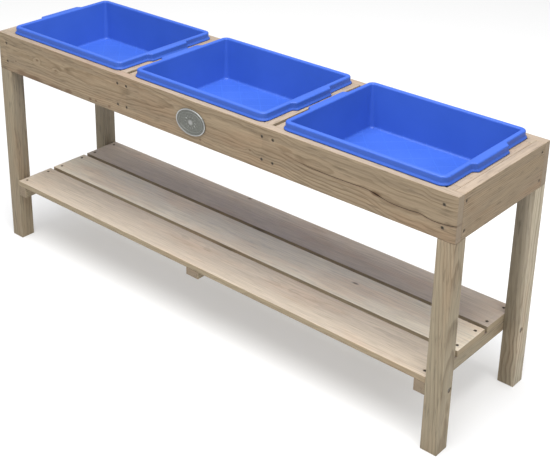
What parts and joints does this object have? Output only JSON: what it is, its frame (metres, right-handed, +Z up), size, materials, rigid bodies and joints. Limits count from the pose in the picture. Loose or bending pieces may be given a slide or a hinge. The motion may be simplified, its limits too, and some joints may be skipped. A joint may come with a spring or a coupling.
{
  "type": "sand and water table",
  "caption": "Long outdoor timber play table with lift-out plastic tubs for sand and water, side by side over an open slatted shelf.",
  "frame": {"origin": "on the ground under the middle of the table", "axes": "+X along the length, +Y to the back (the badge is on the -Y face), +Z up"},
  "size_m": [1.4, 0.3593, 0.6183],
  "materials": {
    "frame_timber": "planed pressure-treated pine, olive tan",
    "shelf_timber": "planed pressure-treated pine, greyish beige",
    "tub_plastic": "smooth satin blue",
    "fastener_steel": "dulled zinc plating",
    "badge_metal": "cast, bright rim"
  },
  "bodies": {
    "table": {"back_plank_screw_left_back": "fastener_steel", "back_plank_screw_left_front": "fastener_steel", "back_plank_screw_right_back": "fastener_steel", "back_plank_screw_right_front": "fastener_steel", "back_rail": "frame_timber", "badge": "badge_metal", "divider_board_left_inner": "frame_timber", "divider_board_left_outer": "frame_timber", "divider_board_right_inner": "frame_timber", "divider_board_right_outer": "frame_timber", "end_board_left": "frame_timber", "end_board_right": "frame_timber", "front_plank_screw_left_back": "fastener_steel", "front_plank_screw_left_front": "fastener_steel", "front_plank_screw_right_back": "fastener_steel", "front_plank_screw_right_front": "fastener_steel", "front_rail": "frame_timber", "front_rail_screw_left_divider_inner_lower": "fastener_steel", "front_rail_screw_left_divider_inner_upper": "fastener_steel", "front_rail_screw_left_divider_outer_lower": "fastener_steel", "front_rail_screw_left_divider_outer_upper": "fastener_steel", "front_rail_screw_left_leg_lower": "fastener_steel", "front_rail_screw_left_leg_upper": "fastener_steel", "front_rail_screw_right_divider_inner_lower": "fastener_steel", "front_rail_screw_right_divider_inner_upper": "fastener_steel", "front_rail_screw_right_divider_outer_lower": "fastener_steel", "front_rail_screw_right_divider_outer_upper": "fastener_steel", "front_rail_screw_right_leg_lower": "fastener_steel", "front_rail_screw_right_leg_upper": "fastener_steel", "inner_end_board_left": "frame_timber", "inner_end_board_right": "frame_timber", "left_end_screw_back_lower": "fastener_steel", "left_end_screw_back_upper": "fastener_steel", "left_end_screw_front_lower": "fastener_steel", "left_end_screw_front_upper": "fastener_steel", "leg_back_left": "frame_timber", "leg_back_right": "frame_timber", "leg_bolt_back_left": "fastener_steel", "leg_bolt_back_right": "fastener_steel", "leg_bolt_front_left": "fastener_steel", "leg_bolt_front_right": "fastener_steel", "leg_front_left": "frame_timber", "leg_front_right": "frame_timber", "middle_plank_screw_left_back": "fastener_steel", "middle_plank_screw_left_front": "fastener_steel", "middle_plank_screw_right_back": "fastener_steel", "middle_plank_screw_right_front": "fastener_steel", "right_end_screw_back_lower": "fastener_steel", "right_end_screw_back_upper": "fastener_steel", "right_end_screw_front_lower": "fastener_steel", "right_end_screw_front_upper": "fastener_steel", "shelf_batten_left": "shelf_timber", "shelf_batten_middle": "shelf_timber", "shelf_batten_right": "shelf_timber", "shelf_plank_back": "shelf_timber", "shelf_plank_front": "shelf_timber", "shelf_plank_middle": "shelf_timber"},
    "tub_left": {"tub_left": "tub_plastic"},
    "tub_middle": {"tub_middle": "tub_plastic"},
    "tub_right": {"tub_right": "tub_plastic"}
  },
  "joints": [
    {"name": "tub_left_lift", "type": "slide", "parent": "table", "child": "tub_left", "axis": [0, 0, 1], "range_m": [0, 0.13]},
    {"name": "tub_middle_lift", "type": "slide", "parent": "table", "child": "tub_middle", "axis": [0, 0, 1], "range_m": [0, 0.13]},
    {"name": "tub_right_lift", "type": "slide", "parent": "table", "child": "tub_right", "axis": [0, 0, 1], "range_m": [0, 0.13]}
  ]
}
